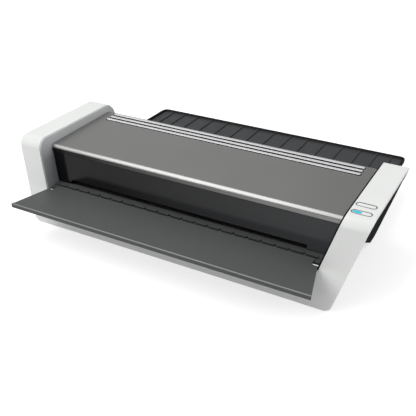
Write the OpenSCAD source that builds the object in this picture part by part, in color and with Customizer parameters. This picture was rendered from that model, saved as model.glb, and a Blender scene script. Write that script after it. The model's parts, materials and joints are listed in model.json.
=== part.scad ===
// A3 pouch laminator: two inverted-L end caps, a bent metal top cover, a recessed feed
// front behind a fold-down input flap, a pull-off output tray and four driven rollers.
// Origin: on the floor, under the middle of the whole object. +X to the operator's right,
// +Y to the rear, +Z up.

/* [Body] */
// Overall width across the tops of the two end caps
body_w = 482.8; // [478:0.2:490]
// Height of the end caps above the floor
cap_h = 111.3; // [110:0.1:113]
// Sideways run of the leaning ends for each millimetre of height
side_lean = 0.277; // [0.27:0.001:0.285]
// Forward run of the leaning front for each millimetre of height
front_lean = 0.192; // [0.185:0.001:0.198]
// Y of the sharp corner where the cap's top and front planes would meet
nose_y = -121.9; // [-122.2:0.1:-121.6]
// Y of the rear face of the end caps
cap_rear_y = 42.2; // [40:0.1:43]

/* [End caps] */
// Width of the white band of each end cap
band_w = 33.9; // [33:0.1:35]
// Wall thickness of the white band
cap_skin = 3; // [2.5:0.1:3.2]
// Bend radius between the cap's top and its front leg
nose_r = 18; // [16:0.5:20]
// Bend radius at the cap's rear top edge
tail_r = 14; // [12:0.5:15]
// Depth of the dark strip that backs each front leg
leg_strip = 5; // [4.5:0.5:9]
// Thickness of the inner liner plate of each cap
liner_t = 1.8; // [1.5:0.1:2]

/* [Top cover] */
// Height of the cover's front edge
cover_front_z = 100.2; // [99.5:0.1:101]
// Height of the cover's rear edge
cover_rear_z = 102.3; // [101.5:0.1:103]
// Y of the cover's front edge
cover_front_y = -102.5; // [-103:0.1:-102]
// Sheet thickness of the cover
cover_t = 1.5; // [1.2:0.1:1.8]
// Bend radius of the cover's polished front edge
cover_nose_r = 5.5; // [4:0.1:6]
// Bend radius of the cover's rear edge
cover_tail_r = 8; // [7:0.1:8.5]

/* [Input flap] */
// Height of the flap's top surface when it is open
flap_z = 50.7; // [50.4:0.1:51]
// Y of the flap's free edge when it is open
flap_front_y = -189.3; // [-190:0.1:-188]
// Thickness of the flap's plate
flap_t = 4.5; // [4:0.1:4.8]

/* [Output tray] */
// Height of the tray's top surface
tray_z = 50.9; // [50.5:0.1:51.1]
// Y of the tray's rear edge
tray_rear_y = 189.3; // [185:0.1:192]
// Half width of the tray
tray_half_w = 207; // [204:0.1:208]

/* [Rollers and gears] */
// Height of the pouch's path through the rollers
path_z = 52.5; // [52.3:0.1:52.7]
// Outer radius of the silicone sleeves
roller_r = 13; // [12.8:0.1:13.1]
// Gap between the sleeves of a pair
nip = 0.6; // [0.4:0.1:0.8]
// Half length of the silicone sleeves
sleeve_half = 165; // [162:1:167]
// Teeth on each roller gear
roller_teeth = 19; // [19:1:19]
// Teeth on the idler gear
idler_teeth = 24; // [24:1:24]
// Teeth on the motor's output gear
motor_teeth = 20; // [20:1:20]

/* [Controls] */
// Y of the front (power) button's centre
power_button_y = -103.2; // [-103.6:0.1:-102.8]
// Y of the rear (reverse) button's centre
reverse_button_y = -85.4; // [-86:0.1:-85]
// X of both buttons' centres
button_x = 223; // [222.5:0.1:223.5]

/* [Hidden] */
$fn = 96;

// End planes, each given by its X at the height of the cap's top
end_x = body_w / 2;
band_x = end_x - band_w;
liner_x = band_x;
web_x = band_x + liner_t + 0.2;
web_t = 2.5;
wall_out_x = end_x - 10;
wall_t = 2.4;
side_cover_x = end_x - 0.6;
foot_in_x = band_x - 6;
cover_end_x = band_x - 0.3;
front_angle = atan(front_lean);

// End cap shells: depth of the liner, rounding of the outer corners, seams
liner_depth = 23.5;
cap_edge_r = 1.2;
leg_corner_r = 10;
tail_z = 89.5;
leg_seam_z = 44;
seam_gap = 0.4;

// Side covers: where their diagonal lower edge starts and ends, and its rounding
side_low_y = 11;
side_low_z = 6;
side_tip_y = -140;
side_tip_z = 99;
side_corner_r = 12;
side_shelf_z = 94;

// Levels and walls of the base
foot_h = 2;
foot_r = 7;
skirt_z = 0.8;
base_z = foot_h;
floor_t = 2.5;
boss_top = 9;
boss_r = 4.5;
rib_h = 12;
front_panel_top = 43;
front_panel_t = 2.4;
panel_rear_y = 34;
rear_panel_t = 2.5;
rear_panel_top = 88.8;

// Screws
screw_r = 1.25;
screw_head_r = 3;
screw_head_t = 2.2;
screw_l = 10;

// Feed front: the panel, the slot and the ledge below it
panel_t = 2.5;
panel_top = 91.7;
panel_set_back = cover_front_y + 0.9 - front_y(cover_front_z);
cover_low_z = 92;
slot_half = 168;
slot_z0 = 52;
slot_z1 = 57.6;
ledge_edge_y = -120.2;
ledge_wall_y = -117.5;
ledge_rear_y = -108.6;
ledge_wall_t = 2.2;

// Raised segments along the ledge, and the slots between them for the flap's fingers
segments = 21;
segment_pitch = 17.8;
segment_l = 15.1;
segment_y = 3.2;
segment_rise = 0.9;
finger_slot = segment_pitch - segment_l + 0.2;
finger_w = 2.3;
finger_rear_y = -118.2;

// Vent in the cover: three bars in a window that follows their round ends, and their dish
slat_y = [3.8, 13.1, 22.4];
slat_w = 5.2;
slat_rise = 1;
slat_half = 189.7;
vent_rim = 1.2;
vent_bed_drop = 3.6;
vent_bed_t = 1.6;

// Flap hinge
hinge_y = -130;
pin_r = 1.5;
knuckle_r = 2.8;
hinge_z = flap_z - knuckle_r;
hinge_boss_r = 4;
flap_gap = 1;
flap_notch = 4;
notch_x = 182.8;
flap_rear_y = -121;
flap_web_t = 2.1;
flap_lip_y = 3.4;
flap_lip_rise = 0.9;
notch_block_gap = 0.8;
pin_l = 26.8;

// Roller axes
axis_drop = roller_r + nip / 2;
low_z = path_z - axis_drop;
high_z = path_z + axis_drop;
front_pair_y = -75;
rear_pair_y = -20;
journal_r = 4;
core_r = 9;
running_gap = 0.05;

// Chassis plates
plate_x = 178;
plate_t = 1.5;

// Gear train: the roller gears' pitch circles touch, so the module follows the axes
tooth_module = 2 * axis_drop / roller_teeth;
gear_x0 = -190;
gear_w = 7;
pressure_angle = 20;
tooth_slack = 0.07;
idler_reach = tooth_module * (roller_teeth + idler_teeth) / 2;
idler_y = (front_pair_y + rear_pair_y) / 2;
idler_z = low_z - sqrt(pow(idler_reach, 2) - pow(idler_y - front_pair_y, 2));
motor_reach = tooth_module * (roller_teeth + motor_teeth) / 2;
motor_bearing = 215;
motor_y = front_pair_y + motor_reach * cos(motor_bearing);
motor_z = low_z + motor_reach * sin(motor_bearing);
idler_bearing = atan2(idler_z - low_z, idler_y - front_pair_y);
rear_bearing = atan2(low_z - idler_z, rear_pair_y - idler_y);

idler_stud_r = 3;
motor_shaft_r = 2.5;
motor_r = 12.8;
motor_x = -120;

// Gear phases, each from the gear that drives it
upper_phase = mesh_phase(0, 90, roller_teeth, roller_teeth);
idler_phase = mesh_phase(0, idler_bearing, roller_teeth, idler_teeth);
rear_phase = mesh_phase(idler_phase, rear_bearing, idler_teeth, roller_teeth);
rear_upper_phase = mesh_phase(rear_phase, 90, roller_teeth, roller_teeth);
motor_phase = mesh_phase(0, motor_bearing, roller_teeth, motor_teeth);

// Heating and guides
heat_y = idler_y;
heat_half = 168;
heat_w = 20;
heat_t = 5;
heat_gap = 2;
strip_w = 14;
strip_t = 2;
guide_t = 1.4;
guide_half = plate_x - 0.5;

// Buttons
button_l = 21.6;
button_w = 6.4;
button_flange = 1.4;
button_skirt = 4.6;
bezel_l = 24;
bezel_w = 8.9;
bezel_wall = 1;
bezel_h = 4.2;
button_top = cap_h + 0.2;
led_x = -5;
led_l = 10.2;
led_w = 4.8;
led_t = 1.2;
board_z = 96;
board_t = 1.6;
dome_h = 1.2;

// Output tray
tray_t = 3;
tray_rib_t = 2.2;
tray_rib_h = 1.4;
tray_lip_h = 1.6;
tray_corner_r = 9;
tray_ribs_x = [0, 28, 56, 84, 112, 140, 165, 187];
tongue_x = 120;
tongue_half = 15;

// Power inlet
inlet_x = -150;
inlet_z = 24;

// Screws and feet in the base: X and Y of each
leg_screw = [188.5, -126];
chassis_screws_xy = [
    for (side = [-1, 1])
        for (y = [-88, -47.5, 12])
            [side * 171, y]
];
base_screws_xy = concat(chassis_screws_xy, [leg_screw, [-leg_screw[0], leg_screw[1]]]);
feet_xy = [for (side = [-1, 1]) each [[side * 172, -126], [side * 183, 14]]];

// ---------------------------------------------------------------- shared shapes

// X at height z of an end plane that stands at x_top at the cap's top
function lean_x(x_top, z) = x_top - side_lean * (cap_h - z);

// Y at height z of a plane parallel to the leaning front, set back by a distance
function front_y(z, back = 0) = nose_y + back - front_lean * (cap_h - z);

// Direction from one point to another
function toward(p, q) = (q - p) / norm(q - p);

// Corner of a closed outline, with its neighbours
function before(points, i) = points[(i + len(points) - 1) % len(points)];
function after(points, i) = points[(i + 1) % len(points)];

// Half the inner angle at corner i
function half_corner(points, i) =
    acos(toward(points[i], before(points, i)) * toward(points[i], after(points, i))) / 2;

// The one or two points that replace corner i when it is rounded
function cut_corner(points, radius, i) =
    radius == 0
        ? [points[i]]
        : let (reach = radius / tan(half_corner(points, i)))
            [points[i] + reach * toward(points[i], before(points, i)),
             points[i] + reach * toward(points[i], after(points, i))];

// Centre of the arc that rounds corner i
function arc_centre(points, radius, i) =
    let (inward = toward(points[i], before(points, i)) + toward(points[i], after(points, i)))
        points[i] + inward / norm(inward) * radius / sin(half_corner(points, i));

// Closed convex outline with rounded corners
module rounded(points, radii) {
    corners = [for (i = [0:len(points) - 1]) i];
    polygon([for (i = corners) each cut_corner(points, radii[i], i)]);
    for (i = corners)
        if (radii[i] > 0)
            translate(arc_centre(points, radii[i], i))
                circle(radii[i]);
}

// Rectangle with round ends, centred
module capsule(length, width) {
    square([length - width, width], center = true);
    for (side = [-1, 1])
        translate([side * (length - width) / 2, 0])
            circle(width / 2);
}

// Extrudes a Y-Z outline along X
module along_x(x0, x1) {
    translate([x0, 0, 0])
        rotate([90, 0, 90])
            linear_extrude(x1 - x0)
                children();
}

// Extrudes an X-Z outline along Y
module along_y(y0, y1) {
    translate([0, y1, 0])
        rotate([90, 0, 0])
            linear_extrude(y1 - y0)
                children();
}

// Extrudes an X-Y outline up from z0 to z1
module along_z(z0, z1) {
    translate([0, 0, z0])
        linear_extrude(z1 - z0)
            children();
}

// Box given by its lowest and highest corners
module block(low, high) {
    translate(low)
        cube(high - low);
}

// Round bar along X
module bar_x(x0, x1, y, z, r) {
    translate([x0, y, z])
        rotate([0, 90, 0])
            cylinder(h = x1 - x0, r = r);
}

// X-Z outline between two end planes on the right side
module lean_band(x_in, x_out, z0, z1) {
    polygon([
        [lean_x(x_in, z0), z0],
        [lean_x(x_out, z0), z0],
        [lean_x(x_out, z1), z1],
        [lean_x(x_in, z1), z1]
    ]);
}

// Space between both end planes, kept to z0..z1
module between_ends(x_top, z0, z1) {
    along_y(-250, 250)
        polygon([
            [-lean_x(x_top, z0), z0],
            [lean_x(x_top, z0), z0],
            [lean_x(x_top, z1), z1],
            [-lean_x(x_top, z1), z1]
        ]);
}

// ---------------------------------------------------------------- end caps

// Side outline of an end cap, set in by a distance and reaching down to z_low
module cap_side(inset, z_low) {
    z_top = cap_h - inset;
    shift = inset / cos(front_angle);
    rounded(
        [
            [front_y(z_low, shift), z_low],
            [cap_rear_y - inset, z_low],
            [cap_rear_y - inset, z_top],
            [front_y(z_top, shift), z_top]
        ],
        [0, 0, max(2, tail_r - inset), max(2, nose_r - inset)]
    );
}

// Side outline of a strip that follows the cap's front, top and rear tail
module cap_strip(outer, inner, z_low, z_tail) {
    difference() {
        cap_side(outer, z_low);
        cap_side(inner, z_low - 20);
        translate([-60, z_low - 20])
            square([cap_rear_y + 61, z_tail - z_low + 20]);
    }
}

// White band with its inner web, right side
module cap_shell() {
    intersection() {
        union() {
            along_x(150, 250)
                cap_strip(0, cap_skin, skirt_z, tail_z);
            intersection() {
                along_x(150, 250)
                    cap_strip(1, liner_depth + 0.5, base_z + 3, tail_z);
                along_y(-200, 60)
                    lean_band(web_x, web_x + web_t, base_z, cap_h);
            }
        }
        along_y(-200, 60)
            rounded(
                [
                    [lean_x(foot_in_x, skirt_z), skirt_z],
                    [lean_x(end_x, skirt_z), skirt_z],
                    [lean_x(end_x, cap_h), cap_h],
                    [lean_x(foot_in_x, cap_h), cap_h]
                ],
                [0, leg_corner_r, cap_edge_r, 0]
            );
        difference() {
            block([150, -200, 0], [250, 60, cap_h + 1]);
            along_y(-200, 60)
                lean_band(foot_in_x - 5, web_x, leg_seam_z, cap_h + 2);
        }
    }
}

// Boss on the web that carries the flap's pin
module hinge_boss() {
    bar_x(lean_x(web_x, hinge_z) + 1, 200, hinge_y, hinge_z, hinge_boss_r);
}

// Post that takes a screw from below
module leg_post() {
    translate([leg_screw[0], leg_screw[1], boss_top])
        cylinder(h = 20, r = 5);
}

module cap_with_bosses() {
    difference() {
        union() {
            cap_shell();
            hinge_boss();
            leg_post();
        }
        bar_x(180, 198, hinge_y, hinge_z, pin_r + running_gap);
        translate([leg_screw[0], leg_screw[1], boss_top - 1])
            cylinder(h = 16, r = screw_r);
    }
}

module button_openings(length, width, z0, z1) {
    for (y = [power_button_y, reverse_button_y])
        translate([button_x, y, 0])
            along_z(z0, z1)
                capsule(length, width);
}

// Posts that hold the button board under the cap's top
module board_posts() {
    for (y = [-112, -74])
        translate([222, y, board_z + board_t])
            cylinder(h = cap_h - 2 - board_z - board_t - (y < -100 ? 2 : 0), r = 2.2);
}

module right_end_cap() {
    color("whitesmoke") {
        difference() {
            cap_with_bosses();
            button_openings(bezel_l, bezel_w, cap_h - 6, cap_h + 2);
        }
        board_posts();
    }
}

module left_end_cap() {
    color("whitesmoke")
        mirror([1, 0, 0])
            cap_with_bosses();
}

// Grey plate on the inner side of a cap
module cap_liner() {
    difference() {
        intersection() {
            along_x(150, 250)
                cap_strip(0.8, liner_depth, leg_seam_z + 2.4, tail_z);
            along_y(-200, 60)
                lean_band(liner_x, liner_x + liner_t, base_z, cap_h);
        }
        bar_x(180, 200, hinge_y, hinge_z, pin_r + 0.6);
    }
}

module right_cap_liner() {
    color("dimgray")
        cap_liner();
}

module left_cap_liner() {
    color("dimgray")
        mirror([1, 0, 0])
            cap_liner();
}

// Side outline of the side cover: everything above a diagonal that rises to the front leg
module side_cover_outline(inset) {
    intersection() {
        cap_side(cap_skin + seam_gap + inset, base_z + inset);
        rounded(
            [
                [side_tip_y, side_tip_z + 1.2 * inset],
                [side_low_y + 0.6 * inset, side_low_z + 1.2 * inset],
                [side_low_y + 17, base_z + inset],
                [60, base_z + inset],
                [60, 130],
                [side_tip_y, 130]
            ],
            [0, side_corner_r, side_corner_r, 0, 0, 0]
        );
    }
}

// Dark strip that backs the white front leg down to the floor
module leg_strip_outline() {
    intersection() {
        difference() {
            cap_side(cap_skin + seam_gap, skirt_z);
            cap_side(cap_skin + leg_strip, skirt_z - 20);
        }
        translate([-200, skirt_z])
            square([200, 90]);
    }
}

module side_cover() {
    intersection() {
        difference() {
            along_x(150, 260)
                side_cover_outline(0);
            intersection() {
                along_x(140, 270)
                    side_cover_outline(wall_t);
                along_y(-200, 60)
                    lean_band(wall_out_x - 5, side_cover_x - wall_t, base_z - 5, cap_h + 5);
            }
            along_y(-200, 60)
                lean_band(wall_out_x - 5, side_cover_x - wall_t, side_shelf_z, cap_h + 5);
        }
        along_y(-200, 60)
            lean_band(wall_out_x + 0.2, side_cover_x, base_z, cap_h);
    }
    intersection() {
        along_x(150, 260)
            leg_strip_outline();
        along_y(-200, 60)
            rounded(
                [
                    [lean_x(wall_out_x + 0.2, skirt_z), skirt_z],
                    [lean_x(side_cover_x, skirt_z), skirt_z],
                    [lean_x(side_cover_x, cap_h), cap_h],
                    [lean_x(wall_out_x + 0.2, cap_h), cap_h]
                ],
                [0, 3, 0, 0]
            );
    }
}

module right_side_cover() {
    color("#2e3030")
        side_cover();
}

module left_side_cover() {
    color("#2e3030")
        mirror([1, 0, 0])
            side_cover();
}

// ---------------------------------------------------------------- base

module base_wall() {
    intersection() {
        along_x(150, 260)
            cap_side(cap_skin + 0.6, base_z);
        along_y(-150, panel_rear_y - rear_panel_t - 0.2)
            lean_band(wall_out_x - wall_t, wall_out_x, base_z, cover_low_z);
    }
}

module base_tray() {
    front = front_y(base_z + floor_t, cap_skin + 0.5);
    rear = panel_rear_y - rear_panel_t - 0.2;
    color("#26282a")
        difference() {
            union() {
                intersection() {
                    block([-230, front, base_z], [230, rear, base_z + floor_t]);
                    between_ends(wall_out_x, base_z - 1, cap_h);
                }
                base_wall();
                mirror([1, 0, 0])
                    base_wall();
                for (xy = base_screws_xy)
                    translate([xy[0], xy[1], base_z])
                        cylinder(h = boss_top - base_z, r = boss_r);
                for (y = [-112, 20])
                    block([-160, y, base_z], [160, y + 2, rib_h]);
            }
            for (xy = base_screws_xy)
                translate([xy[0], xy[1], 0]) {
                    cylinder(h = 20, r = screw_r + 0.55);
                    cylinder(h = base_z + 3, r = screw_head_r + 0.8);
                }
            for (x = [-140:20:140])
                block([x - 2, -60, 0], [x + 2, -30, 10]);
        }
}

module front_lower_panel() {
    inner_z = base_z + floor_t + 0.3;
    color("gainsboro")
        intersection() {
            along_x(-250, 250)
                polygon([
                    [front_y(skirt_z), skirt_z],
                    [front_y(skirt_z, front_panel_t), skirt_z],
                    [front_y(inner_z, front_panel_t), inner_z],
                    [front_y(inner_z) + 12, inner_z],
                    [front_y(inner_z) + 12, inner_z + 2],
                    [front_y(inner_z + 2, front_panel_t), inner_z + 2],
                    [front_y(front_panel_top, front_panel_t), front_panel_top],
                    [front_y(front_panel_top), front_panel_top]
                ]);
            between_ends(foot_in_x - 0.15, 0, 60);
        }
}

module rubber_feet() {
    color("#1a1a1a")
        for (xy = feet_xy)
            translate([xy[0], xy[1], 0])
                rotate_extrude()
                    polygon([[0, 0], [foot_r - 0.6, 0], [foot_r, 0.6], [foot_r, foot_h], [0, foot_h]]);
}

module base_screws() {
    color("silver")
        for (xy = base_screws_xy)
            translate([xy[0], xy[1], base_z + 0.8])
                difference() {
                    union() {
                        cylinder(h = screw_head_t, r = screw_head_r);
                        cylinder(h = screw_l, r = screw_r);
                    }
                    for (turn = [0, 90])
                        rotate([0, 0, turn])
                            translate([-2, -0.4, -1])
                                cube([4, 0.8, 2]);
                }
}

// ---------------------------------------------------------------- cover and front

// Side outline of the cover, set in by a distance and reaching down past its edges
module cover_side(inset, drop) {
    rise = (cover_rear_z - cover_front_z) / (panel_rear_y - cover_front_y);
    shift = inset / cos(front_angle);
    low = 75 - drop;
    z_front = cover_front_z - inset + rise * shift;
    rounded(
        [
            [cover_front_y + shift - front_lean * (cover_front_z - low), low],
            [panel_rear_y - inset, low],
            [panel_rear_y - inset, cover_rear_z - inset],
            [cover_front_y + shift - front_lean * (cover_front_z - z_front), z_front]
        ],
        [0, 0, cover_tail_r - inset, cover_nose_r - inset]
    );
}

// Height of the cover's top surface at a given Y
function cover_top(y) =
    cover_front_z + (cover_rear_z - cover_front_z) * (y - cover_front_y)
        / (panel_rear_y - cover_front_y);

// Heights of the bed that the bars stand on, and of the wall that meets the cover's underside
vent_bed_z = cover_top(slat_y[0]) - vent_bed_drop;
vent_seat_z = cover_top(slat_y[0] - 6) - cover_t - 0.1;

// Outline round all three bars, a rim wider than they are
module vent_window(rim) {
    half = slat_half - slat_w / 2;
    for (y = slat_y)
        translate([0, y])
            capsule(2 * (slat_half + rim), slat_w + 2 * rim);
    translate([-half, slat_y[0]])
        square([2 * half, slat_y[2] - slat_y[0]]);
}

module top_cover() {
    color("gray")
        difference() {
            intersection() {
                along_x(-250, 250)
                    difference() {
                        cover_side(0, 0);
                        cover_side(cover_t, 10);
                    }
                between_ends(cover_end_x, tail_z - 0.3, cap_h);
            }
            block([-250, -150, 0], [250, -60, cover_low_z]);
            along_z(cover_low_z, cap_h)
                vent_window(vent_rim);
        }
}

module vent_frame() {
    color("#101112")
        difference() {
            along_z(vent_bed_z - vent_bed_t, vent_seat_z)
                vent_window(vent_rim + vent_bed_t);
            along_z(vent_bed_z, cap_h)
                vent_window(vent_rim);
            for (x = [-180:12:180])
                for (y = [(slat_y[0] + slat_y[1]) / 2, (slat_y[1] + slat_y[2]) / 2])
                    translate([x, y, vent_bed_z - 5])
                        along_z(0, 10)
                            capsule(9, 2.4);
        }
}

module vent_slats() {
    color("gainsboro")
        for (y = slat_y)
            translate([0, y, 0])
                along_z(vent_bed_z, cover_top(y) + slat_rise)
                    capsule(2 * slat_half, slat_w);
}

// Y just behind the front panel at height z
function panel_back_y(z) = front_y(z, panel_set_back + panel_t + 0.2);

module front_panel() {
    back = panel_set_back;
    color("#1b1c1f")
        difference() {
            intersection() {
                along_x(-250, 250)
                    polygon([
                        [front_y(slot_z0 + 0.4, back), slot_z0 + 0.4],
                        [front_y(slot_z0 + 0.4, back + panel_t), slot_z0 + 0.4],
                        [front_y(panel_top, back + panel_t), panel_top],
                        [front_y(panel_top, back), panel_top]
                    ]);
                between_ends(cover_end_x, 40, cap_h);
            }
            block([-slot_half, -200, 0], [slot_half, 0, slot_z1]);
        }
}

// Centres of the raised segments, and of the gaps between them
segment_x = [for (k = [0:segments - 1]) (k - (segments - 1) / 2) * segment_pitch];
gap_x = [for (k = [1:segments - 1]) (segment_x[k - 1] + segment_x[k]) / 2];

// Block that fills the flap's corner notch, behind the hinge pin
module notch_block() {
    front = hinge_y + pin_r + 0.7;
    block([notch_x + notch_block_gap, front, hinge_z - 4], [200, ledge_wall_y + 1, flap_z - 0.2]);
}

module feed_ledge() {
    color("#3a3c3e")
        difference() {
            intersection() {
                union() {
                    along_x(-250, 250)
                        polygon([
                            [ledge_edge_y, slot_z0 - 2.8],
                            [ledge_wall_y, slot_z0 - 5.5],
                            [ledge_wall_y, 6],
                            [ledge_wall_y + ledge_wall_t, 6],
                            [ledge_wall_y + ledge_wall_t, slot_z0 - 4.4],
                            [ledge_rear_y, slot_z0 - 2],
                            [ledge_rear_y, slot_z0],
                            [ledge_edge_y, slot_z0 - 0.6]
                        ]);
                    for (x = segment_x)
                        block([x - segment_l / 2, ledge_edge_y, slot_z0 - 1],
                              [x + segment_l / 2, ledge_edge_y + segment_y, slot_z0 + segment_rise]);
                    notch_block();
                    mirror([1, 0, 0])
                        notch_block();
                }
                between_ends(cover_end_x - 0.1, 0, cap_h);
            }
            for (x = gap_x)
                block([x - finger_slot / 2, ledge_edge_y - 1, slot_z0 - 8],
                      [x + finger_slot / 2, ledge_wall_y, slot_z0 + 2]);
        }
}

// ---------------------------------------------------------------- input flap

// Half width of the flap at distance s in front of the hinge
function flap_half(s) = lean_x(liner_x, hinge_z) - flap_gap + s * side_lean * cos(front_angle);

module flap_plan() {
    reach = hinge_y - flap_front_y;
    polygon([
        [-flap_half(flap_notch), hinge_y - flap_notch],
        [-flap_half(reach) + 1.5, flap_front_y],
        [flap_half(reach) - 1.5, flap_front_y],
        [flap_half(flap_notch), hinge_y - flap_notch]
    ]);
}

module input_flap() {
    color("#555857")
        difference() {
            union() {
                along_z(flap_z - flap_t, flap_z)
                    flap_plan();
                block([-notch_x, hinge_y - flap_notch - 2, flap_z - flap_web_t],
                      [notch_x, flap_rear_y, flap_z]);
                for (x = gap_x)
                    block([x - finger_w / 2, flap_rear_y - 1, flap_z - flap_web_t],
                          [x + finger_w / 2, finger_rear_y, flap_z]);
                for (side = [-1, 1])
                    bar_x(side * 171.4 - 11.4, side * 171.4 + 11.4, hinge_y, hinge_z, knuckle_r);
                intersection() {
                    along_x(-250, 250)
                        rounded(
                            [
                                [flap_front_y, flap_z - flap_t - flap_lip_rise],
                                [flap_front_y + flap_lip_y, flap_z - flap_t - flap_lip_rise],
                                [flap_front_y + flap_lip_y, flap_z + flap_lip_rise],
                                [flap_front_y, flap_z + flap_lip_rise]
                            ],
                            [1, 1, 1, 1]
                        );
                    along_z(0, 100)
                        flap_plan();
                }
            }
            for (side = [-1, 1])
                bar_x(side * 176.4 - 6.6, side * 176.4 + 6.6, hinge_y, hinge_z, pin_r);
        }
}

module flap_hinge_pins() {
    color("silver")
        for (side = [-1, 1])
            bar_x(side * 183.4 - pin_l / 2, side * 183.4 + pin_l / 2, hinge_y, hinge_z, pin_r);
}

// ---------------------------------------------------------------- rear

module rear_panel() {
    color("#232527")
        difference() {
            intersection() {
                block([-250, panel_rear_y - rear_panel_t, base_z + 0.2],
                      [250, panel_rear_y, rear_panel_top]);
                between_ends(wall_out_x, 0, cap_h);
            }
            block([-slot_half, 0, slot_z0 - 0.8], [slot_half, 60, slot_z1 + 0.6]);
            for (side = [-1, 1])
                block([side * tongue_x - tongue_half - 0.4, 0, 46.2],
                      [side * tongue_x + tongue_half + 0.4, 60, 49.4]);
            block([inlet_x - 13.9, 0, inlet_z - 10.4], [inlet_x + 13.9, 60, inlet_z + 10.4]);
            for (x = [-60:9:129])
                block([x, 0, 14], [x + 4, 60, 34]);
        }
}

// Outline of the tray, set in by a distance at the sides and the rear
module tray_plan(inset, front) {
    half = tray_half_w - inset;
    corner = tray_corner_r - inset;
    rounded(
        [[-half, front], [half, front], [half, tray_rear_y - inset], [-half, tray_rear_y - inset]],
        [3, 3, corner, corner]
    );
}

module output_tray() {
    front = panel_rear_y + 0.5;
    low = tray_z - tray_t;
    color("#2b2d2f") {
        along_z(low, tray_z - tray_rib_h)
            tray_plan(0, front);
        for (x = tray_ribs_x)
            for (side = x == 0 ? [1] : [-1, 1])
                block([side * x - tray_rib_t / 2, front + 4, tray_z - tray_rib_h - 0.1],
                      [side * x + tray_rib_t / 2, tray_rear_y - 3, tray_z]);
        for (side = [-1, 1])
            block([side * tongue_x - tongue_half, 14, low - 1.3],
                  [side * tongue_x + tongue_half, front + 6, low + 1.1]);
        intersection() {
            difference() {
                along_z(low, tray_z + tray_lip_h)
                    tray_plan(0, front);
                along_z(low - 1, tray_z + 5)
                    tray_plan(3, front - 10);
            }
            block([-300, front, 0], [300, 300, 100]);
        }
    }
}

module power_inlet() {
    face_y = panel_rear_y + 2;
    color("#151515") {
        difference() {
            union() {
                block([inlet_x - 15.6, panel_rear_y, inlet_z - 12.6],
                      [inlet_x + 15.6, face_y, inlet_z + 12.6]);
                block([inlet_x - 13.7, 6, inlet_z - 10.2],
                      [inlet_x + 13.7, panel_rear_y, inlet_z + 10.2]);
            }
            along_y(13, face_y + 1)
                translate([inlet_x, inlet_z])
                    polygon([
                        [-12, -8.6], [12, -8.6], [12, 4.6], [8, 8.6], [-8, 8.6], [-12, 4.6]
                    ]);
        }
    }
    color("silver")
        for (pin = [[-7, -5], [0, -1.6], [7, -5]])
            block([inlet_x + pin[0] - 1, 10, inlet_z + pin[1] - 2.2],
                  [inlet_x + pin[0] + 1, 27, inlet_z + pin[1] + 2.2]);
}

// ---------------------------------------------------------------- controls

module button_body() {
    along_z(button_top - button_skirt, button_top)
        capsule(button_l, button_w);
    along_z(button_top - button_skirt - 1.6, button_top - button_skirt + 0.1)
        capsule(button_l + 2 * button_flange, button_w + 2 * button_flange);
    along_z(100, button_top - 6)
        capsule(8, 4);
}

module power_button() {
    color("whitesmoke")
        translate([button_x, power_button_y, 0])
            difference() {
                button_body();
                translate([led_x, 0, 0])
                    along_z(button_top - led_t, button_top + 1)
                        capsule(led_l, led_w);
            }
}

module power_led_lens() {
    color("deepskyblue")
        translate([button_x + led_x, power_button_y, 0])
            along_z(button_top - led_t, button_top + 0.05)
                capsule(led_l, led_w);
}

module reverse_button() {
    color("whitesmoke")
        translate([button_x, reverse_button_y, 0])
            button_body();
}

module button_bezels() {
    color("gray")
        difference() {
            button_openings(bezel_l, bezel_w, cap_h + 0.4 - bezel_h, cap_h + 0.4);
            button_openings(bezel_l - 2 * bezel_wall, bezel_w - 2 * bezel_wall, 90, 120);
        }
}

module button_board() {
    color("darkgreen")
        block([212, -116, board_z], [232, -70, board_z + board_t]);
}

module button_domes() {
    color("gray")
        for (y = [power_button_y, reverse_button_y])
            translate([button_x, y, board_z + board_t])
                cylinder(h = dome_h, r = 4);
}

// ---------------------------------------------------------------- chassis

module plate_outline() {
    rounded([[-106, boss_top], [24, boss_top], [24, 88], [-98, 88]], [6, 6, 4, 4]);
}

module chassis_plate() {
    difference() {
        union() {
            along_x(plate_x, plate_x + plate_t)
                plate_outline();
            block([plate_x - 14, -104, boss_top], [plate_x + 0.5, 22, boss_top + plate_t]);
        }
        for (y = [front_pair_y, rear_pair_y]) {
            bar_x(plate_x - 5, plate_x + 5, y, low_z, 6);
            bar_x(plate_x - 5, plate_x + 5, y, high_z, 6);
            block([plate_x - 5, y - 6, high_z], [plate_x + 5, y + 6, 82]);
        }
        for (xy = chassis_screws_xy)
            translate([abs(xy[0]), xy[1], 0])
                cylinder(h = 20, r = 1.45);
    }
}

module left_chassis_plate() {
    color("lightsteelblue")
        difference() {
            mirror([1, 0, 0])
                chassis_plate();
            bar_x(-plate_x - 5, -plate_x + 5, motor_y, motor_z, 5.2);
            bar_x(-plate_x - 5, -plate_x + 5, idler_y, idler_z, idler_stud_r);
        }
}

module right_chassis_plate() {
    color("lightsteelblue")
        chassis_plate();
}

module tie_rods() {
    color("silver")
        for (yz = [[-96, 80], [16, 80], [-8, 15.5]])
            bar_x(-plate_x, plate_x, yz[0], yz[1], 3);
}

module roller_bushes() {
    color("goldenrod")
        for (side = [-1, 1])
            for (y = [front_pair_y, rear_pair_y])
                for (z = [low_z, high_z])
                    difference() {
                        union() {
                            bar_x(side * (plate_x + 0.75) - 2, side * (plate_x + 0.75) + 2, y, z, 6);
                            bar_x(side * (plate_x - 1) - 0.9, side * (plate_x - 1) + 0.9, y, z, 7.4);
                        }
                        bar_x(side * plate_x - 9, side * plate_x + 9, y, z, journal_r + running_gap);
                    }
}

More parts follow.
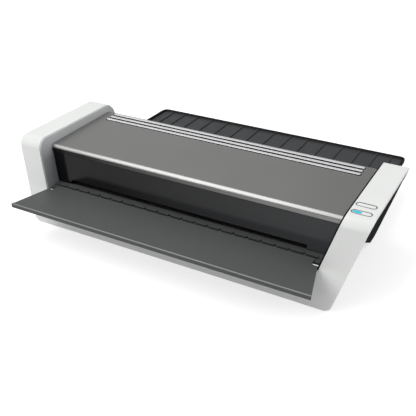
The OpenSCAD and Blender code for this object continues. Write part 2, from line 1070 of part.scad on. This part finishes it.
module pressure_springs() {
    spring_z = high_z + 7.6;
    color("silver")
        for (side = [-1, 1])
            for (y = [front_pair_y, rear_pair_y])
                translate([side * (plate_x + plate_t / 2), y, spring_z])
                    for (turn = [0:3])
                        translate([0, 0, turn * 2.1])
                            rotate_extrude($fn = 48)
                                translate([2.9, 0.8])
                                    circle(r = 0.7, $fn = 16);
}

// ---------------------------------------------------------------- rollers

module roller_shaft(y, z) {
    color("silver") {
        bar_x(-sleeve_half - 3, sleeve_half + 3, y, z, core_r);
        bar_x(gear_x0 - 1.5, plate_x + 5, y, z, journal_r);
    }
}

module roller_sleeve(y, z) {
    color("indianred")
        difference() {
            bar_x(-sleeve_half, sleeve_half, y, z, roller_r);
            bar_x(-sleeve_half - 1, sleeve_half + 1, y, z, core_r);
        }
}

module front_lower_shaft() { roller_shaft(front_pair_y, low_z); }
module front_upper_shaft() { roller_shaft(front_pair_y, high_z); }
module rear_lower_shaft() { roller_shaft(rear_pair_y, low_z); }
module rear_upper_shaft() { roller_shaft(rear_pair_y, high_z); }
module front_lower_sleeve() { roller_sleeve(front_pair_y, low_z); }
module front_upper_sleeve() { roller_sleeve(front_pair_y, high_z); }
module rear_lower_sleeve() { roller_sleeve(rear_pair_y, low_z); }
module rear_upper_sleeve() { roller_sleeve(rear_pair_y, high_z); }

// ---------------------------------------------------------------- gears

function pitch_radius(teeth) = tooth_module * teeth / 2;

// Involute function, in degrees, at radius r
function involute_at(r, teeth) =
    let (a = acos(min(1, pitch_radius(teeth) * cos(pressure_angle) / r)))
        tan(a) * 180 / PI - a;

// Half of a tooth's angle at radius r
function half_tooth(r, teeth) =
    90 / teeth - tooth_slack / pitch_radius(teeth) * 180 / PI
        + involute_at(pitch_radius(teeth), teeth) - involute_at(r, teeth);

function polar(r, a) = [r * cos(a), r * sin(a)];

// Phase of a gear of n_b teeth that meshes with one of n_a teeth at a bearing
function mesh_phase(phase_a, bearing, n_a, n_b) =
    bearing + 180 + 180 / n_b - (phase_a - bearing) * n_a / n_b;

module gear_outline(teeth, phase) {
    tip = pitch_radius(teeth) + 0.95 * tooth_module;
    root = pitch_radius(teeth) - 1.25 * tooth_module;
    start = max(root, pitch_radius(teeth) * cos(pressure_angle));
    steps = 3;
    flank = [for (k = [0:steps]) start + (tip - start) * k / steps];
    polygon([
        for (i = [0:teeth - 1])
            let (mid = phase + 360 * i / teeth)
                each concat(
                    [polar(root, mid - half_tooth(start, teeth))],
                    [for (r = flank) polar(r, mid - half_tooth(r, teeth))],
                    [for (k = [steps:-1:0]) polar(flank[k], mid + half_tooth(flank[k], teeth))],
                    [polar(root, mid + half_tooth(start, teeth))]
                )
    ]);
}

module gear(y, z, teeth, phase, bore_r) {
    difference() {
        translate([0, y, z])
            along_x(gear_x0, gear_x0 + gear_w)
                gear_outline(teeth, phase);
        bar_x(gear_x0 - 1, gear_x0 + gear_w + 1, y, z, bore_r);
    }
}

module front_lower_gear() {
    color("ivory")
        gear(front_pair_y, low_z, roller_teeth, 0, journal_r);
}

module front_upper_gear() {
    color("ivory")
        gear(front_pair_y, high_z, roller_teeth, upper_phase, journal_r);
}

module rear_lower_gear() {
    color("ivory")
        gear(rear_pair_y, low_z, roller_teeth, rear_phase, journal_r);
}

module rear_upper_gear() {
    color("ivory")
        gear(rear_pair_y, high_z, roller_teeth, rear_upper_phase, journal_r);
}

module idler_gear() {
    color("ivory")
        gear(idler_y, idler_z, idler_teeth, idler_phase, idler_stud_r + running_gap);
}

module idler_stud() {
    color("silver")
        bar_x(gear_x0 - 2, -plate_x, idler_y, idler_z, idler_stud_r);
}

module motor_gear() {
    color("ivory")
        gear(motor_y, motor_z, motor_teeth, motor_phase, motor_shaft_r - 0.1);
    color("silver")
        bar_x(gear_x0 - 1, -164, motor_y, motor_z, motor_shaft_r);
}

module drive_motor() {
    color("slategray")
        difference() {
            union() {
                bar_x(-plate_x + 0.3, motor_x, motor_y, motor_z, motor_r);
                bar_x(-plate_x - 1.4, -plate_x + 1, motor_y, motor_z, 5);
                bar_x(motor_x, motor_x + 4, motor_y, motor_z, 4);
            }
            bar_x(-plate_x - 3, -163, motor_y, motor_z, motor_shaft_r + running_gap);
        }
}

// ---------------------------------------------------------------- heating and guides

// Plate across the path, its lower face at z
module heat_plate(z) {
    block([-heat_half, heat_y - heat_w / 2, z], [heat_half, heat_y + heat_w / 2, z + heat_t]);
}

module lower_heat_plate() {
    color("silver")
        heat_plate(path_z - heat_gap - heat_t);
}

module upper_heat_plate() {
    color("silver")
        heat_plate(path_z + heat_gap);
}

module heating_strips() {
    reach = heat_gap + heat_t;
    color("peru")
        for (z = [path_z - reach - strip_t, path_z + reach])
            block([-150, heat_y - strip_w / 2, z], [150, heat_y + strip_w / 2, z + strip_t]);
}

// Thermostat on the upper heating strip, and the thermal fuse beside it
module thermostat() {
    seat_z = path_z + heat_gap + heat_t + strip_t;
    color("dimgray") {
        translate([62, heat_y, seat_z])
            cylinder(h = 8, r = 7);
        bar_x(-40, -18, heat_y, seat_z + 2.2, 2.2);
    }
}

module heat_shield() {
    color("lightgray")
        difference() {
            block([-plate_x - plate_t, -98, 88], [plate_x + plate_t, 24, 88.8]);
            for (x = [-150:30:150])
                block([x - 8, -52, 80], [x + 8, -42, 95]);
        }
}

module entry_guides() {
    rear = -87;
    low = path_z + 5.2;
    color("silver") {
        block([-guide_half, ledge_rear_y + 0.3, path_z - 1.2 - guide_t], [guide_half, rear, path_z - 1.2]);
        along_x(-guide_half, guide_half)
            polygon([
                [panel_back_y(low), low],
                [rear, low],
                [rear, low + guide_t],
                [panel_back_y(low + guide_t) + guide_t, low + guide_t],
                [panel_back_y(70) + guide_t, 70],
                [panel_back_y(70), 70]
            ]);
    }
}

module exit_guides() {
    color("silver")
        for (z = [path_z - 1.4 - guide_t, path_z + 5.8])
            block([-guide_half, -8, z], [guide_half, panel_rear_y - 3.2, z + guide_t]);
}

// ---------------------------------------------------------------- electronics

module control_board() {
    color("darkgreen")
        block([186, -92, 22], [187.6, -12, 78]);
    color("black")
        for (part = [[-80, 60, 12, 12], [-60, 40, 14, 10], [-40, 62, 10, 8], [-34, 32, 16, 14]])
            block([187.6, part[0], part[1]], [191, part[0] + part[2], part[1] + part[3]]);
}

module power_board() {
    color("darkgreen")
        block([-70, -4, 20], [110, 24, 21.6]);
    color("goldenrod")
        block([-60, 0, 21.6], [-30, 22, 42]);
    color("black")
        for (x = [0, 24, 80])
            translate([x, 10, 21.6])
                cylinder(h = 18, r = 7);
}

module inlet_wires() {
    color("saddlebrown")
        for (k = [0, 1, 2])
            bar_x(inlet_x + 13.7, -70, 13 + 4 * k, 21 + k, 1.3);
}

base_tray();
right_end_cap();
left_end_cap();
right_cap_liner();
left_cap_liner();
right_side_cover();
left_side_cover();
front_lower_panel();
top_cover();
vent_frame();
vent_slats();
front_panel();
feed_ledge();
input_flap();
flap_hinge_pins();
rear_panel();
output_tray();
power_inlet();
power_button();
power_led_lens();
reverse_button();
button_bezels();
button_board();
button_domes();
rubber_feet();
base_screws();
left_chassis_plate();
right_chassis_plate();
tie_rods();
roller_bushes();
pressure_springs();
front_lower_shaft();
front_lower_sleeve();
front_lower_gear();
front_upper_shaft();
front_upper_sleeve();
front_upper_gear();
rear_lower_shaft();
rear_lower_sleeve();
rear_lower_gear();
rear_upper_shaft();
rear_upper_sleeve();
rear_upper_gear();
idler_stud();
idler_gear();
drive_motor();
motor_gear();
lower_heat_plate();
upper_heat_plate();
heating_strips();
thermostat();
heat_shield();
entry_guides();
exit_guides();
control_board();
power_board();
inlet_wires();
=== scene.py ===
"""Looks of the A3 pouch laminator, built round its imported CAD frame. Metres, +Z up, front at -Y."""

import json
import math

import bmesh
import bpy
from mathutils import Matrix, Vector


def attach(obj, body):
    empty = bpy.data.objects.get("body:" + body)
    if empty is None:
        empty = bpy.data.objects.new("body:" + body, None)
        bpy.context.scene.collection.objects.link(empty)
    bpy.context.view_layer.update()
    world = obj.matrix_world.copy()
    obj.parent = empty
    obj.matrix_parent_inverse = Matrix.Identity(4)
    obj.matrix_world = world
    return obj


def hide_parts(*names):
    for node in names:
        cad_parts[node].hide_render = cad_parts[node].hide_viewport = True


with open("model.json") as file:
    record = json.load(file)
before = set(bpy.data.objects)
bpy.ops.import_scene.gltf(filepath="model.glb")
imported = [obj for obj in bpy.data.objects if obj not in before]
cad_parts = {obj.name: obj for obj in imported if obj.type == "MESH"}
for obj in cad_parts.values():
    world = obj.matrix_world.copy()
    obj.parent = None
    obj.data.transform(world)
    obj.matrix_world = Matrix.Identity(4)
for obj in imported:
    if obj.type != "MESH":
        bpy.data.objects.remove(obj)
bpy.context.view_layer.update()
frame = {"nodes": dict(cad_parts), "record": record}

MM = 0.001
NODES = frame["nodes"]
BODY_OF = {
    node: body for body, nodes in frame["record"]["behaviour"]["bodies"].items() for node in nodes
}


# ---------------------------------------------------------------- camera

# Place in metres, angles in degrees down and to the left, lens and sensor in millimetres
CAMERA_AT = (0.3677, -0.7101, 0.4588)
CAMERA_ELEVATION = 29.551
CAMERA_TURN = 28.618
CAMERA_LENS = 56.51
SENSOR_WIDTH = 36


def make_camera():
    data = bpy.data.cameras.new("camera")
    data.sensor_width = SENSOR_WIDTH
    data.lens = CAMERA_LENS
    camera = bpy.data.objects.new("camera", data)
    camera.location = CAMERA_AT
    camera.rotation_euler = (
        math.radians(90 - CAMERA_ELEVATION),
        0,
        math.radians(CAMERA_TURN),
    )
    bpy.context.scene.collection.objects.link(camera)
    bpy.context.scene.camera = camera


# ---------------------------------------------------------------- studio

# Half the floor's side in metres, and its squares along each side
FLOOR_HALF = 12
FLOOR_SQUARES = 12

# Glow of the floor as the object and as the camera see it
FLOOR_GLOW = 0.36
FLOOR_GLOW_SEEN = 0.66


def make_floor():
    bm = bmesh.new()
    bmesh.ops.create_grid(
        bm, x_segments=FLOOR_SQUARES, y_segments=FLOOR_SQUARES, size=FLOOR_HALF
    )
    mesh = bpy.data.meshes.new("floor")
    bm.to_mesh(mesh)
    bm.free()
    floor = bpy.data.objects.new("floor", mesh)
    bpy.context.scene.collection.objects.link(floor)
    look = Look("floor", (0.5, 0.5, 0.5), roughness=0.9)
    look.shader.inputs["Emission Color"].default_value = (1, 1, 1, 1)
    look.vary_colour(scale=0.6, amount=0.01)
    glow = look.add("ShaderNodeMix")
    look.link(look.add("ShaderNodeLightPath").outputs["Is Camera Ray"], glow.inputs["Factor"])
    glow.inputs["A"].default_value = FLOOR_GLOW
    glow.inputs["B"].default_value = FLOOR_GLOW_SEEN
    look.link(glow.outputs["Result"], look.shader.inputs["Emission Strength"])
    mesh.materials.append(look.material)


def area_light(name, at, aim, size, power, along):
    """A soft rectangular light; the second of its sides runs along the given direction."""
    data = bpy.data.lights.new(name, "AREA")
    data.shape = "RECTANGLE"
    data.size, data.size_y = size
    data.energy = power
    light = bpy.data.objects.new(name, data)
    light.location = at
    back = (Vector(at) - Vector(aim)).normalized()
    side = Vector(along).cross(back).normalized()
    light.rotation_euler = Matrix((side, back.cross(side), back)).transposed().to_euler()
    bpy.context.scene.collection.objects.link(light)


# Radiance of the plain backdrop that the camera sees. The object sees a sky instead, with
# these radiances straight up and at the horizon.
BACKDROP = 1.05
SKY_TOP = 0.5
SKY_RIM = 0.14

# Soft glows added to that sky: direction, cosines at which the glow starts and is full, radiance
GLOWS = [
    ((-0.457, -0.452, 0.766), 0.70, 0.95, 0.5),
    ((-0.66, 0.65, 0.38), 0.68, 0.98, 0.37),
    ((0.70, 0.45, 0.55), 0.80, 0.97, 1.0),
]


def make_world():
    world = bpy.data.worlds.new("studio")
    world.use_nodes = True
    nodes, links = world.node_tree.nodes, world.node_tree.links

    def smooth(source, low, high, dark, bright):
        reach = nodes.new("ShaderNodeMapRange")
        reach.interpolation_type = "SMOOTHSTEP"
        for socket, value in (
            ("From Min", low), ("From Max", high), ("To Min", dark), ("To Max", bright)
        ):
            reach.inputs[socket].default_value = value
        links.new(source, reach.inputs["Value"])
        return reach.outputs["Result"]

    coords = nodes.new("ShaderNodeTexCoord").outputs["Generated"]
    split = nodes.new("ShaderNodeSeparateXYZ")
    links.new(coords, split.inputs[0])
    total = smooth(split.outputs["Z"], 0, 1, SKY_RIM, SKY_TOP)
    for direction, start, full, radiance in GLOWS:
        dot = nodes.new("ShaderNodeVectorMath")
        dot.operation = "DOT_PRODUCT"
        links.new(coords, dot.inputs[0])
        dot.inputs[1].default_value = Vector(direction).normalized()
        add = nodes.new("ShaderNodeMath")
        links.new(total, add.inputs[0])
        links.new(smooth(dot.outputs["Value"], start, full, 0, radiance), add.inputs[1])
        total = add.outputs[0]
    seen = nodes.new("ShaderNodeMix")
    links.new(nodes.new("ShaderNodeLightPath").outputs["Is Camera Ray"], seen.inputs["Factor"])
    links.new(total, seen.inputs["A"])
    seen.inputs["B"].default_value = BACKDROP
    nodes["Background"].inputs["Color"].default_value = (1, 1, 1, 1)
    links.new(seen.outputs["Result"], nodes["Background"].inputs["Strength"])
    bpy.context.scene.world = world


# Lights: name, place, the point each is aimed at, sides, watts, direction of the second side
LIGHTS = [
    ("key", (-0.95, -0.96, 1.97), (-0.04, -0.04, 0.1), (1.35, 4.0), 47, (0, 0.9, 0.43)),
    ("fill", (1.45, 0.75, 1.3), (0.2, 0, 0.1), (1.2, 1.2), 8, (0, 1, 0)),
]


def make_studio():
    make_world()
    for light in LIGHTS:
        area_light(*light)
    view = bpy.context.scene.view_settings
    view.view_transform = "Standard"
    view.look = "None"


# ---------------------------------------------------------------- materials

# Shader sockets whose names are more than one word
SOCKETS = {"specular": "Specular IOR Level", "emission_strength": "Emission Strength"}

GRAIN_STRENGTH = 0.6

# Stretch of the streaks that drawing or rolling leaves on metal, along X
STREAKS = (0.04, 1, 1)


class Look:
    """A procedural material on one Principled shader, with the patterns that the slots share."""

    def __init__(self, name, colour, **sockets):
        self.name = name
        self.material = bpy.data.materials.new("look_" + name)
        self.material.use_nodes = True
        self.tree = self.material.node_tree
        self.shader = self.tree.nodes["Principled BSDF"]
        self.colour = colour
        self.shader.inputs["Base Color"].default_value = (*colour, 1)
        for key, value in sockets.items():
            self.shader.inputs[SOCKETS.get(key, key.capitalize())].default_value = value

    def add(self, kind, **settings):
        node = self.tree.nodes.new(kind)
        for key, value in settings.items():
            setattr(node, key, value)
        return node

    def link(self, source, target):
        self.tree.links.new(source, target)

    def place(self, stretch=(1, 1, 1)):
        """The piece's own coordinates, scaled along each axis."""
        coords = self.add("ShaderNodeTexCoord")
        mapping = self.add("ShaderNodeMapping")
        mapping.inputs["Scale"].default_value = stretch
        self.link(coords.outputs["Object"], mapping.inputs["Vector"])
        return mapping.outputs["Vector"]

    def noise(self, scale, detail, stretch):
        noise = self.add("ShaderNodeTexNoise")
        noise.inputs["Scale"].default_value = scale
        noise.inputs["Detail"].default_value = detail
        self.link(self.place(stretch), noise.inputs["Vector"])
        return noise.outputs["Fac"]

    def spread(self, source, low, high, from_low=0.3, from_high=0.7):
        """source, mapped to low..high, from the range that most of a noise lies in."""
        reach = self.add("ShaderNodeMapRange")
        reach.inputs["From Min"].default_value = from_low
        reach.inputs["From Max"].default_value = from_high
        reach.inputs["To Min"].default_value = low
        reach.inputs["To Max"].default_value = high
        self.link(source, reach.inputs["Value"])
        return reach.outputs["Result"]

    def mix(self, factor, a, b):
        """Colour a, blended into colour b by factor."""
        mix = self.add("ShaderNodeMix", data_type="RGBA")
        self.link(factor, mix.inputs["Factor"])
        mix.inputs["A"].default_value = (*a, 1)
        mix.inputs["B"].default_value = (*b, 1)
        return mix.outputs["Result"]

    def fade(self, axis, start, end, far):
        """Base colour that runs to far between two places on one of the object's axes."""
        split = self.add("ShaderNodeSeparateXYZ")
        self.link(self.place(), split.inputs[0])
        factor = self.spread(split.outputs[axis], 0, 1, start, end)
        self.link(self.mix(factor, self.colour, far), self.shader.inputs["Base Color"])

    def vary_colour(self, scale, amount, stretch=(1, 1, 1)):
        """Slow drift of the base colour, by amount either way."""
        low = tuple(c * (1 - amount) for c in self.colour)
        high = tuple(min(1, c * (1 + amount)) for c in self.colour)
        factor = self.spread(self.noise(scale, detail=3, stretch=stretch), 0, 1)
        mixed = self.mix(factor, low, high)
        self.link(mixed, self.shader.inputs["Base Color"])

    def vary_roughness(self, scale, low, high, stretch=(1, 1, 1)):
        """Uneven sheen between two roughnesses."""
        spread = self.spread(self.noise(scale, detail=4, stretch=stretch), low, high)
        self.link(spread, self.shader.inputs["Roughness"])

    def grain(self, scale, depth, detail=3, stretch=(1, 1, 1)):
        """Fine relief of the surface, depth in metres."""
        bump = self.add("ShaderNodeBump")
        bump.inputs["Strength"].default_value = GRAIN_STRENGTH
        bump.inputs["Distance"].default_value = depth
        self.link(self.noise(scale, detail, stretch), bump.inputs["Height"])
        self.link(bump.outputs["Normal"], self.shader.inputs["Normal"])


def plastic(name, colour, rough, texture=0.012 * MM, scale=1800, uneven=0.12, fade=None, **sockets):
    """Moulded or coated surface: slow colour drift or a fade, uneven sheen and a fine grain."""
    look = Look(name, colour, **sockets)
    if fade:
        look.fade(*fade)
    else:
        look.vary_colour(scale=14, amount=0.02)
    look.vary_roughness(scale=60, low=rough * (1 - uneven), high=rough * (1 + uneven))
    if texture:
        look.grain(scale, texture)
    return look


def metal(name, colour, rough):
    """Drawn or rolled metal, with streaks."""
    look = Look(name, colour, metallic=1)
    look.vary_colour(scale=40, amount=0.05, stretch=STREAKS)
    look.vary_roughness(scale=900, low=rough * 0.8, high=rough * 1.2, stretch=STREAKS)
    look.grain(scale=1500, depth=0.01 * MM, detail=2, stretch=STREAKS)
    return look


def coated_metal(name, colour, rough, fade=None):
    """Smooth coated sheet metal."""
    return plastic(name, colour, rough, texture=0, uneven=0.03, fade=fade, metallic=1)


def lit_lens(name, colour, glow):
    """Coloured lens with a lamp behind it."""
    look = Look(name, colour, roughness=0.2, emission_strength=0.5)
    look.vary_colour(scale=300, amount=0.08)
    look.shader.inputs["Emission Color"].default_value = (*glow, 1)
    return look


def make_looks():
    looks = [
        plastic("white_gloss", (0.685, 0.695, 0.685), 0.22, 0.004 * MM, 900),
        # Painted shade: the liner runs darker below about 85 mm, where the cover and the flap shade
        # it, and lighter above 108 mm
        plastic(
            "liner_grey",
            (0.26, 0.265, 0.275),
            0.42,
            fade=("Z", 0.085, 0.108, (0.46, 0.465, 0.475)),
        ),
        plastic("dark_plastic", (0.030, 0.031, 0.033), 0.55, specular=0.3),
        plastic("black_gloss", (0.009, 0.009, 0.011), 0.10, 0.002 * MM, 400, specular=0.25),
        # Painted reflection: the glossy front panel runs from near black at the left to lighter at
        # the right
        plastic(
            "panel",
            (0.003, 0.003, 0.004),
            0.12,
            texture=0,
            fade=("X", -0.1, 0.17, (0.036, 0.037, 0.039)),
            specular=0.25,
        ),
        plastic("flap_grey", (0.063, 0.067, 0.065), 0.45, specular=0.3),
        plastic("nylon", (0.72, 0.69, 0.60), 0.4),
        plastic("silicone", (0.12, 0.05, 0.045), 0.55, 0.02 * MM, 1200),
        plastic("rubber", (0.015, 0.015, 0.015), 0.75, 0.03 * MM, 1200),
        plastic("board_green", (0.02, 0.12, 0.05), 0.35, 0.01 * MM, 600),
        plastic("wire", (0.25, 0.08, 0.03), 0.45),
        plastic("side", (0.024, 0.025, 0.025), 0.75, specular=0.0),
        # Painted light: a lighter copy of the dark plastic for the lit tops of the feed ledge
        plastic("ledge_top_painted_light", (0.042, 0.043, 0.044), 0.5),
        # Painted shade: near black for edges and faces that stand in shadow or in narrow gaps
        plastic("rim", (0.006, 0.006, 0.006), 0.6, specular=0.1),
        # Painted highlight: lighter grey for the flap's front edge where it catches the light
        plastic("lip", (0.20, 0.205, 0.20), 0.4),
        metal("steel", (0.36, 0.36, 0.37), 0.38),
        metal("aluminium", (0.80, 0.80, 0.79), 0.34),
        metal("bronze", (0.60, 0.42, 0.20), 0.36),
        metal("motor_can", (0.42, 0.43, 0.45), 0.38),
        metal("bezel", (0.30, 0.30, 0.31), 0.22),
        coated_metal("silver", (0.70, 0.70, 0.71), 0.68),
        coated_metal("cover_metal", (0.285, 0.287, 0.28), 0.31),
        # Painted reflection: the upright face under the cover's nose runs from dark at the left to
        # grey at the right
        coated_metal(
            "cover_lip_painted_reflection", (0.03, 0.03, 0.03), 0.31, fade=("X", -0.15, 0.2, (0.28, 0.28, 0.275))
        ),
        lit_lens("lens_blue", (0.0, 0.30, 0.38), glow=(0.0, 0.42, 0.55)),
    ]
    return {look.name: look.material for look in looks}


# ---------------------------------------------------------------- finer pieces

# Vertices nearer than WELD become one, and faces within FLAT_ANGLE of each other one face.
# Edges over SHARP_ANGLE are eased, and those still over SMOOTH_ANGLE are shaded sharp.
WELD = 0.002 * MM
FLAT_ANGLE = math.radians(0.4)
SHARP_ANGLE = math.radians(28)
SMOOTH_ANGLE = math.radians(50)
EASE_SEGMENTS = 2


def slot_of(node):
    return NODES[node].data.materials[0].name


def look_of(node):
    return looks[LOOKS.get(node, slot_of(node))]


def eased(node, radius):
    """The node's own shape with its sharp edges eased, as moulding or bending leaves them."""
    bm = bmesh.new()
    bm.from_mesh(NODES[node].data)
    bmesh.ops.remove_doubles(bm, verts=bm.verts, dist=WELD)
    bmesh.ops.dissolve_limit(bm, angle_limit=FLAT_ANGLE, verts=bm.verts, edges=bm.edges)
    sharp = [e for e in bm.edges if e.is_manifold and e.calc_face_angle(0) > SHARP_ANGLE]
    bmesh.ops.bevel(
        bm,
        geom=sharp,
        offset=radius,
        offset_type="OFFSET",
        segments=EASE_SEGMENTS,
        profile=0.5,
        affect="EDGES",
        clamp_overlap=True,
    )
    mesh = bpy.data.meshes.new(node + "_finish")
    mesh.materials.append(look_of(node))
    if node in SECOND:
        accent, chosen = SECOND[node]
        mesh.materials.append(looks[accent])
        bm.normal_update()
        for face in bm.faces:
            face.material_index = int(chosen(face.calc_center_median() / MM, face.normal))
    bm.to_mesh(mesh)
    bm.free()
    mesh.polygons.foreach_set("use_smooth", [True] * len(mesh.polygons))
    mesh.set_sharp_from_angle(angle=SMOOTH_ANGLE)
    piece = bpy.data.objects.new(node + "_finish", mesh)
    bpy.context.scene.collection.objects.link(piece)
    shading = piece.modifiers.new("shading", "WEIGHTED_NORMAL")
    shading.keep_sharp = True
    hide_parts(node)
    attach(piece, BODY_OF[node])


# Looks of the nodes that differ from the look of their slot
LOOKS = {
    "front_panel": "panel",
    "right_side_cover": "side",
    "left_side_cover": "side",
    "button_bezels": "bezel",
}

# Box round each of the power inlet's three pins, in mm: its middle, its half sides, its rear
PINS_X = (-157, -150, -143)
PINS_Z = 20.6
PIN_REACH_X = 1.2
PIN_REACH_Z = 6
PINS_END_Y = 27.5


def on_pin(at, out):
    beside = min(abs(at.x - x) for x in PINS_X) < PIN_REACH_X
    return beside and abs(at.z - PINS_Z) < PIN_REACH_Z and at.y < PINS_END_Y


# Second look of a node, and which faces wear it, from their centre in mm and their normal
SECOND = {
    # top faces, in front of the panel, painted lighter: painted light where the light falls on them
    "feed_ledge": ("ledge_top_painted_light", lambda at, out: out.z > 0.8 and at.y < -110),
    # top of the raised edge, and the side faces of the edge and the ribs above the floor, painted
    # near black as painted shade
    "output_tray": ("rim", lambda at, out: at.z > 52.2 or abs(out.x) > 0.5 and at.z > 49.4),
    # side and end faces, painted near black as painted shade in the gaps round the slats
    "vent_slats": ("rim", lambda at, out: out.z < 0.3),
    # upright face under the nose, with a painted reflection: dark at the left, grey at the right
    "top_cover": ("cover_lip_painted_reflection", lambda at, out: out.y < -0.97 and at.y < -100),
    # narrow edge all round, painted near black as a painted shadow gap beside the white band; the
    # edge stays grey on the left liner
    "right_cap_liner": ("rim", lambda at, out: abs(out.x) < 0.7),
    # upper edge of the bar along the front, painted lighter as a painted highlight
    "input_flap": ("lip", lambda at, out: at.y < -188.2 and at.z > 50),
    "power_inlet": ("steel", on_pin),
}

# Radius of the eased edges of each node that has them, in mm
EASED = {
    "right_cap_liner": 0.3,
    "left_cap_liner": 0.3,
    "front_lower_panel": 0.4,
    "top_cover": 0.3,
    "front_panel": 0.4,
    "feed_ledge": 0.35,
    "input_flap": 0.35,
    "rear_panel": 0.4,
    "output_tray": 0.2,
    "vent_slats": 0.6,
    "power_button": 0.5,
    "reverse_button": 0.5,
    "button_bezels": 0.15,
    "power_led_lens": 0.3,
    "rubber_feet": 0.3,
    "power_inlet": 0.3,
}

make_camera()
looks = make_looks()
make_floor()
make_studio()

for node, radius in EASED.items():
    eased(node, radius * MM)
for node in NODES.keys() - EASED.keys():
    NODES[node].data.materials[0] = look_of(node)
